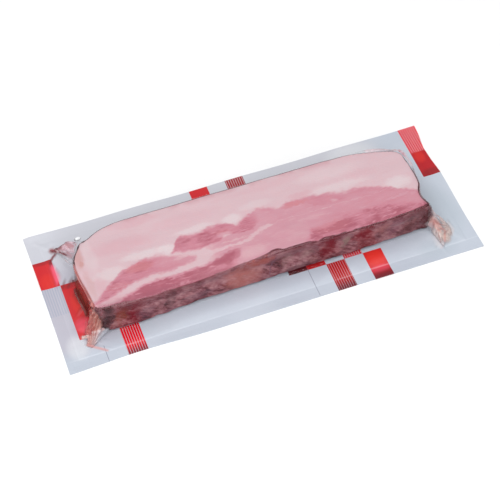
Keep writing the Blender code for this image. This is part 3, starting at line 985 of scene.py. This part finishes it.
glaze = Recipe("vacuum_film")
held = glaze.attribute("stain_and_painted_light", "Color")
cover = glaze.attribute("stain_and_painted_light", "Alpha")
crease = glaze.attribute("fold")
patchy = glaze.fade(glaze.noise(1.8, 3), 0.3, 0.7, 0.78, 1.12)
cloud = glaze.math("MINIMUM", glaze.times(cover, patchy), 0.94)
cloud = glaze.math("MAXIMUM", cloud, glaze.times(crease, glaze.fade(cover, 0.1, 0.5), 0.9))
# Painted shade: in the folds the held colour is darkened.
inputs = {"Factor": glaze.times(crease, 0.6), 6: held, 7: (196, 132, 132)}
dark = glaze.node("Mix", inputs, data_type="RGBA", blend_type="MULTIPLY").outputs[2]
glaze.finish(base_color=dark, roughness=0.3)
clear = glaze.node("BsdfTransparent").outputs[0]
clouded = glaze.node("MixShader", {0: cloud, 1: clear, 2: glaze.shader.outputs[0]}).outputs[0]
sheen = glaze.node("BsdfGlossy", {"Roughness": 0.09}).outputs[0]
facing = glaze.node("LayerWeight", {"Blend": 0.5}).outputs["Facing"]
grazing = glaze.math("POWER", facing, SHEEN_POWER)
edge_on = glaze.math("MULTIPLY_ADD", grazing, SHEEN_GAIN, SHEEN_LEAST)
surface = glaze.node("MixShader", {0: edge_on, 1: clouded, 2: sheen}).outputs[0]
glaze.put(glaze.output.inputs["Surface"], surface)
for piece in (film, bubble):
    piece.data.materials.append(glaze.material)
print("the film's material has", len(glaze.tree.nodes), "nodes")

# %% [markdown]
# The web is a white laminate, printed with red blocks and stripes on a grid of small cells, with the
# clear film sealed to it round the edge. A copy of the packed web keeps its outline. Its top is cut
# into cells of under a millimetre, which take the seal line, faint waves and the creases that the
# gussets pull into it. Then the top's edge is extruded down and closed, so that it lies flat.

# %% Model the web's top
WEB_CUTS = 9
SEAL_LINE = 8.5
SEAL_DEPTH = 0.16
WEB_WAVE = 0.14
CREASES = (
    ((-127, 42), (-135, 50), 0.3, 1.1),
    ((-128, 38), (-129, 22), 0.35, 1.3),
    ((-121, -41), (-128, -48), 0.25, 0.9),
    ((-121, -40), (-108, -47), 0.35, 0.8),
    ((-118, -37), (-108, -40), 0.25, 0.8),
    ((-127, -32), (-134, -34), 0.25, 0.8),
    ((127, -30), (136, -24), 0.25, 1.0),
    ((126, -38), (131, -46), 0.3, 0.9),
    ((114, -46), (116, -54), 0.25, 0.8),
    ((116, 29), (124, 36), 0.25, 0.9),
)

web = working_copy("printed_web", "web_sheet")
change_faces(web, lambda middle, normal: normal.z < 0.5, bpy.ops.mesh.delete, type="FACE")
edit(web, select="SELECT")
bpy.ops.mesh.subdivide(number_cuts=WEB_CUTS)
done()
print("the web's top has", len(web.data.polygons), "faces")

# %% [markdown]
# The relief is a sum of small heights. The seal is a shallow step all round, the waves are soft
# noise, and each crease is a low ridge that fades along its length. Under the slab the web stays flat.

# %% Press the seal and the creases into the web
places, normals = points_of(web)
flat = places[:, :2] / MM
half = np.array((cad_high.x, cad_high.y)) / MM
inset = (half - np.abs(flat)).min(axis=1)
relief = -SEAL_DEPTH * soft_step(SEAL_LINE + 0.5 - inset, 0, 1.0)
waves = rough(places, 26 * MM, (2, 1, 1), seed=4.0) + 0.5 * rough(places, 8 * MM, (2.5, 1, 1), seed=6.0)
relief += WEB_WAVE * waves * soft_step(inset, 1.0, 8.0)
for start, end, tall, wide in CREASES:
    gap, share = beside(flat, start, end)
    relief += tall * np.exp(-((gap / wide) ** 2)) * (1 - share) ** 0.7
under_slab = soft_step(116 - np.abs(flat[:, 0] + 2), 0, 4) * soft_step(29 - np.abs(flat[:, 1]), 0, 3)
relief *= 1 - under_slab
places[:, 2] += relief * MM
move_points(web, places)
print("the relief reaches from", round(relief.min(), 2), "to", round(relief.max(), 2), "mm")

# %% [markdown]
# The web's top is now a lone surface. Its edge is extruded, pressed flat onto the table's level and
# filled, which gives the web its thickness and a flat underside. The film's stains and painted light
# run out onto the web, under the sealed film, so the web's points are painted by the same strokes.

# %% Close the web's underside and paint its stains and light
EDGE_ANGLE = math.radians(40)

edit(web, "EDGE")
bpy.ops.mesh.select_non_manifold()
bpy.ops.mesh.extrude_region_move()
bpy.ops.transform.resize(value=(1, 1, 0), center_override=(0, 0, cad_low.z))
bpy.ops.mesh.fill()
done()
edit(web, select="SELECT")
bpy.ops.mesh.normals_make_consistent(inside=False)
done()
web.data.shade_smooth()
bpy.ops.object.shade_smooth_by_angle(angle=EDGE_ANGLE)
paint = painted(spots_of(web), STROKES)
stain_and_painted_light(web, paint)
print("the web has", len(web.data.polygons), "faces,", int((paint[:, 3] > 0.1).sum()), "stained points")

# %% [markdown]
# The web's white isn't even, as the light over it isn't. A few wide, soft tints over a plain bluish
# grey paint that in: a pinkish painted sheen near the left edge, painted shade at the right end, and
# painted light, brightest towards the back right corner.

# %% Paint light and shade on the white web
ink = Recipe("printed_laminate")
paper = ink.blend(ink.fade(ink.noise(60, 2), 0.35, 0.65), (191, 198, 209), (185, 192, 204))
# Painted sheen, painted shade and painted light, as wide tints on the white.
for share, tint in (
    (ink.ovals(((-134, -14, 9, 6, 0.6), (-123, 24, 5, 9, 0.4)), ink.x, ink.y), (212, 204, 214)),
    (ink.times(ink.fade(ink.x, -92, -118), ink.fade(ink.y, -48, -34)), (183, 182, 194)),
    (ink.times(ink.fade(ink.y, 8, 40), ink.fade(ink.x, 118, 90)), (197, 198, 206)),
    (ink.ovals(((88, 46, 18, 9, 0.7), (-130, -38, 7, 9, 0.6)), ink.x, ink.y), (214, 216, 221)),
    (ink.ovals(((127, -20, 12, 22, 0.6), (112, -46, 14, 8, 0.5)), ink.x, ink.y), (176, 186, 196)),
):
    paper = ink.blend(share, paper, tint)
print("the white takes", len(ink.tree.nodes), "nodes")

# %% [markdown]
# The print could be faces with materials of their own, but its edges would then follow the mesh.
# Here each printed field is a box in the pattern's own grid: a cell is an eleventh of the half
# length wide and a fifth of the width deep. A row of the list says where a field starts, how many
# cells deep it is, half the width of the white gaps between its stripes, in millimetres, or 0 where it
# is solid, and its red. One red field shows only at the slab's front foot, and there its maroon is
# painted shade.

# %% Print the fields
CELL_X = 280 / 22
CELL_Y = 110 / 5
RED = (202, 26, 34)
BRIGHT_RED = (220, 6, 30)
DEEP_RED = (180, 16, 28)
DARK_RED = (178, 2, 8)
WINE = (156, 0, 16)
CRIMSON = (200, 6, 34)
# A red darkened to maroon as painted shade at the slab's front foot.
RED_IN_PAINTED_SHADE = (92, 16, 28)
PALE_GREY = (168, 172, 188)
FIELDS = (
    (0, 1, 1, 0, RED), (0, 2, 1, 0.5, PALE_GREY), (1, 2, 2, 0, RED), (3, 4, 1, 0.21, BRIGHT_RED),
    (9, 0, 1, 0, RED), (11, 0, 1, 0.21, WINE), (12, 3, 1, 0, RED_IN_PAINTED_SHADE), (13, 3, 1, 0, RED),
    (14, 4, 1, 0.165, DARK_RED), (15, 3, 1, 0.22, CRIMSON), (16, 4, 1, 0, RED),
    (21, 0, 1, 0.26, BRIGHT_RED), (21, 1, 1, 0, DEEP_RED),
)
BLUR = 0.12
STRIPE_PITCH = 1.6
STRIPE_BLUR = 0.18
STRIPES_FROM = 140.0

column = ink.math("DIVIDE", ink.add(ink.x, cad_high.x / MM), CELL_X)
row = ink.math("DIVIDE", ink.math("SUBTRACT", cad_high.y / MM, ink.y), CELL_Y)
stripe_place = ink.math("PINGPONG", ink.add(ink.x, STRIPES_FROM), STRIPE_PITCH / 2)


def box(across, across_ends, along, along_ends, soft):
    """1 inside a rectangle, with its edges a little soft."""
    mask = 1.0
    for value, (start, end), blur in ((across, across_ends, soft[0]), (along, along_ends, soft[1])):
        rise = ink.fade(value, start - blur, start + blur)
        mask = ink.times(rise, ink.fade(value, end + blur, end - blur), mask)
    return mask


printed = paper
inked = 0.0
for first_column, first_row, rows, half_gap, red in FIELDS:
    column_ends = (first_column, first_column + 1)
    row_ends = (first_row, first_row + rows)
    mask = box(column, column_ends, row, row_ends, (BLUR / CELL_X, BLUR / CELL_Y))
    if half_gap:
        mask = ink.times(mask, ink.fade(stripe_place, half_gap - STRIPE_BLUR, half_gap))
    printed = ink.blend(mask, printed, red)
    if red is not PALE_GREY:
        inked = ink.add(inked, mask)
print("the print has", len(FIELDS), "fields")

# %% [markdown]
# The red isn't even either. It is brighter or pinker where the film over it catches the light, darker
# in shadow, and darker still past the lip's line in front. Two thin grey rules stand at the front
# edge, and a painted highlight runs as a pale line where the sealed lip begins. Last come the stains
# and the painted light of the strokes, over print and white alike. A soft coat gives the laminate its
# gloss.

# %% Tone the print and finish the web
TONES = (
    ((232, 52, 34), ((-134, 16, 5, 7, 0.4), (70, -39, 7, 7, 0.6), (132, 29, 4, 6, 0.4),
     (-121, -6, 4, 8, 0.4))),
    ((140, 18, 26), ((-133, 33, 9, 3, 0.6), (134, 13, 8, 4, 0.75), (-121, 9, 7, 2.5, 0.5),
     (31, -32, 8, 2, 0.4))),
    ((236, 84, 110), ((-122, -23, 5, 6, 0.5), (70, -48, 7, 3, 0.45), (-128, 20, 1.6, 6, 0.6))),
)
RULES = (((25.3, 25.7), (-54, -32)), ((-114.7, -114.3), (-54, -42)))
LIP_LINE = SEAL_LINE - cad_high.y / MM

for tone, tone_spots in TONES:
    printed = ink.blend(ink.times(inked, ink.ovals(tone_spots, ink.x, ink.y)), printed, tone)
past_seal = ink.fade(ink.y, LIP_LINE + 0.4, LIP_LINE - 7.5)
printed = ink.blend(ink.times(inked, past_seal, 0.85), printed, (84, 14, 30))
for across_ends, along_ends in RULES:
    rule = box(ink.x, across_ends, ink.y, along_ends, (0.08, 0.3))
    printed = ink.blend(ink.times(rule, 0.8), printed, (120, 124, 142))
# A painted highlight: a pale line where the sealed lip begins.
from_lip = ink.math("ABSOLUTE", ink.math("SUBTRACT", ink.y, LIP_LINE))
lip = ink.math("SUBTRACT", 1.0, ink.fade(from_lip, 0.2, 0.7))
lip = ink.times(lip, ink.fade(ink.noise(12, 2, (2, 1, 1)), 0.35, 0.6))
printed = ink.blend(ink.times(lip, 0.16), printed, (226, 230, 238))
printed = ink.blend(ink.attribute("stain_and_painted_light", "Alpha"), printed, ink.attribute("stain_and_painted_light", "Color"))
web.data.materials.append(ink.finish(
    base_color=printed, roughness=0.36, specular_ior_level=0.3, coat_weight=0.25, coat_roughness=0.15,
    normal=ink.bump(ink.noise(3.0, 2), 0.05),
))
print("the web's material has", len(ink.tree.nodes), "nodes")

# %% [markdown]
# The pack lies on a plain white table. The table isn't part of the object.

# %% Lay the pack on a table
TABLE_SIDE = 12.0
TABLE_GAP = 0.02 * MM

bpy.ops.mesh.primitive_plane_add(size=TABLE_SIDE, location=(0, 0, cad_low.z - TABLE_GAP))
table = bpy.context.object
table.name = "table"
top = Recipe("white_table")
tone = top.fade(top.noise(900, 2), 0.3, 0.7, 0.93, 0.95)
grey = top.node("CombineColor", {0: tone, 1: tone, 2: tone}).outputs[0]
table.data.materials.append(top.finish(base_color=grey, roughness=0.8))
print("the table is", TABLE_SIDE, "m wide")

# %% [markdown]
# Last, each piece is tied to the pack's one body, and the packed node that it stands for is hidden.

# %% Tie the pieces to the pack's body
for piece, node, finish in (
    (slab, "film_sealed_bacon", "filmed_bacon"),
    (film, "film_sealed_bacon", "clear_film"),
    (bubble, "film_sealed_bacon", "clear_film"),
    (web, "printed_web", "printed_film"),
):
    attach(piece, "root")
    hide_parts(node)
